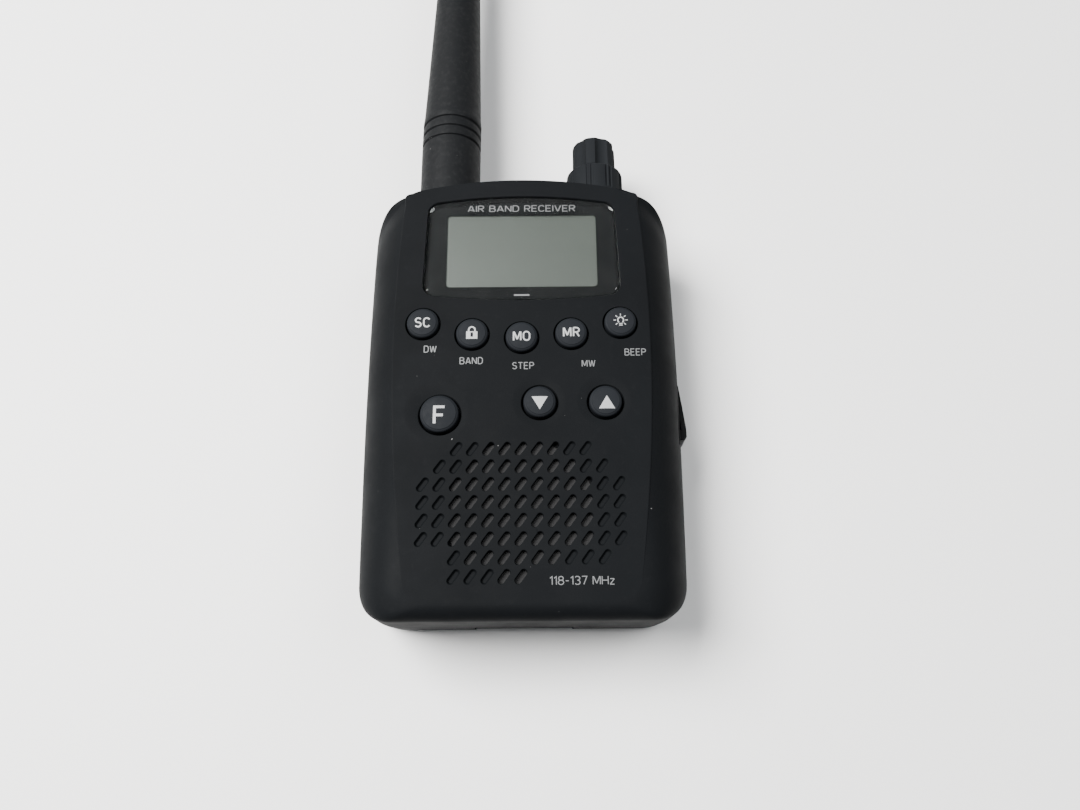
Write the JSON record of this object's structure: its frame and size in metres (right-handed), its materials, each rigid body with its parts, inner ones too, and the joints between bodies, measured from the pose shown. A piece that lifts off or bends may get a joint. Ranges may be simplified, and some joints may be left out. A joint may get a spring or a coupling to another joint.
{
  "type": "handheld airband radio receiver",
  "caption": "Handheld airband radio receiver with a rubber antenna, stacked rotary knobs, framed display, round keys, slotted speaker grille and sliding battery door.",
  "frame": {"origin": "centre of the case's flat back face, on the surface it lies on", "axes": "+X to the right of the keypad, +Y from the bottom end towards the antenna, +Z out of the front face; the radio lies on its back"},
  "size_m": [0.07, 0.217, 0.0293],
  "materials": {
    "case_shell": "soft-touch matte black, very fine grain",
    "door_shell": "matte black, fine grain",
    "lens": "glossy dark display lens with a clear window",
    "lcd": "grey-green liquid crystal glass",
    "holder": "white moulded plastic",
    "light_guide": "milky light guide",
    "contact_rubber": "pink conductive rubber strips",
    "board": "green solder mask",
    "screw_steel": "zinc plated steel",
    "shield_tin": "tinned steel",
    "chip_black": "black epoxy packages",
    "capacitor_sleeve": "dark blue sleeves",
    "keypad_rubber": "grey silicone rubber",
    "key_grey": "dark grey satin silicone with white marks",
    "speaker_felt": "black woven dust cloth",
    "speaker_metal": "pressed steel basket",
    "magnet_steel": "plated magnet cup",
    "cone_paper": "black pressed paper",
    "lead_red": "insulated lead",
    "control_metal": "plated control housing",
    "shaft_metal": "plated shafts",
    "knob_black": "satin black moulded knobs",
    "socket_plate": "plated brass socket",
    "insulator_white": "white insulator",
    "antenna_rubber": "matte black rubber sleeve",
    "coil_copper": "enamelled copper wire",
    "cover_rubber": "glossy black rubber cover",
    "jack_plastic": "black jack housing",
    "cell_jacket": "plain printed cell jacket",
    "contact_metal": "nickel plated spring steel"
  },
  "bodies": {
    "case": {"front_case": "case_shell", "rear_case": "case_shell", "case_screws": "screw_steel", "display_lens": "lens", "lcd_glass": "lcd", "display_holder": "holder", "backlight_panel": "light_guide", "contact_strips": "contact_rubber", "main_board": "board", "board_screws": "screw_steel", "rf_shield": "shield_tin", "chips": "chip_black", "filter_cans": "shield_tin", "capacitors": "capacitor_sleeve", "dome_switches": "contact_metal", "keypad_mat": "keypad_rubber", "speaker_cloth": "speaker_felt", "speaker_frame": "speaker_metal", "speaker_magnet": "magnet_steel", "speaker_cone": "cone_paper", "speaker_leads": "lead_red", "control_body": "control_metal", "control_nut": "shaft_metal", "antenna_socket": "socket_plate", "socket_insulator": "insulator_white", "socket_contact": "socket_plate", "socket_nut": "socket_plate", "socket_washer": "screw_steel", "antenna_lead": "lead_red", "cover_anchor": "cover_rubber", "earphone_jack": "jack_plastic", "left_cell": "cell_jacket", "right_cell": "cell_jacket", "cell_springs": "contact_metal", "bridge_contact": "contact_metal", "plus_contact": "contact_metal", "minus_contact": "contact_metal"},
    "volume_control": {"volume_knob": "knob_black", "volume_shaft": "shaft_metal"},
    "squelch_control": {"squelch_knob": "knob_black", "squelch_shaft": "shaft_metal"},
    "antenna": {"antenna_sleeve": "antenna_rubber", "antenna_collar": "shaft_metal", "antenna_plug": "shaft_metal", "antenna_pin": "socket_plate", "antenna_coil": "coil_copper"},
    "battery_door": {"battery_door": "door_shell"},
    "jack_cover": {"jack_cover": "cover_rubber"},
    "scan_key": {"scan_key": "key_grey"},
    "lock_key": {"lock_key": "key_grey"},
    "monitor_key": {"monitor_key": "key_grey"},
    "recall_key": {"recall_key": "key_grey"},
    "lamp_key": {"lamp_key": "key_grey"},
    "function_key": {"function_key": "key_grey"},
    "down_key": {"down_key": "key_grey"},
    "up_key": {"up_key": "key_grey"}
  },
  "joints": [
    {"name": "scan_press", "type": "slide", "parent": "case", "child": "scan_key", "axis": [0, 0, -1], "range_m": [0, 0.0007], "stiffness_N_per_m": 400, "springref_m": -0.0004},
    {"name": "lock_press", "type": "slide", "parent": "case", "child": "lock_key", "axis": [0, 0, -1], "range_m": [0, 0.0007], "stiffness_N_per_m": 400, "springref_m": -0.0004},
    {"name": "monitor_press", "type": "slide", "parent": "case", "child": "monitor_key", "axis": [0, 0, -1], "range_m": [0, 0.0007], "stiffness_N_per_m": 400, "springref_m": -0.0004},
    {"name": "recall_press", "type": "slide", "parent": "case", "child": "recall_key", "axis": [0, 0, -1], "range_m": [0, 0.0007], "stiffness_N_per_m": 400, "springref_m": -0.0004},
    {"name": "lamp_press", "type": "slide", "parent": "case", "child": "lamp_key", "axis": [0, 0, -1], "range_m": [0, 0.0007], "stiffness_N_per_m": 400, "springref_m": -0.0004},
    {"name": "function_press", "type": "slide", "parent": "case", "child": "function_key", "axis": [0, 0, -1], "range_m": [0, 0.0007], "stiffness_N_per_m": 400, "springref_m": -0.0004},
    {"name": "down_press", "type": "slide", "parent": "case", "child": "down_key", "axis": [0, 0, -1], "range_m": [0, 0.0007], "stiffness_N_per_m": 400, "springref_m": -0.0004},
    {"name": "up_press", "type": "slide", "parent": "case", "child": "up_key", "axis": [0, 0, -1], "range_m": [0, 0.0007], "stiffness_N_per_m": 400, "springref_m": -0.0004},
    {"name": "volume_turn", "type": "hinge", "parent": "case", "child": "volume_control", "pos_m": [0.0175, 0.0633, 0.014], "axis": [0, -1, 0], "range_deg": [0, 300]},
    {"name": "squelch_turn", "type": "hinge", "parent": "case", "child": "squelch_control", "pos_m": [0.0175, 0.0534, 0.014], "axis": [0, -1, 0], "range_deg": [0, 300]},
    {"name": "antenna_twist", "type": "hinge", "parent": "case", "child": "antenna", "pos_m": [-0.0175, 0.0587, 0.014], "axis": [0, 1, 0], "range_deg": [0, 90]},
    {"name": "door_slide", "type": "slide", "parent": "case", "child": "battery_door", "axis": [0, -1, 0], "range_m": [0, 0.062]},
    {"name": "cover_swing", "type": "hinge", "parent": "case", "child": "jack_cover", "pos_m": [0.03365, 0.0023, 0.014], "axis": [0, 0, 1], "range_deg": [-7, 83]}
  ]
}
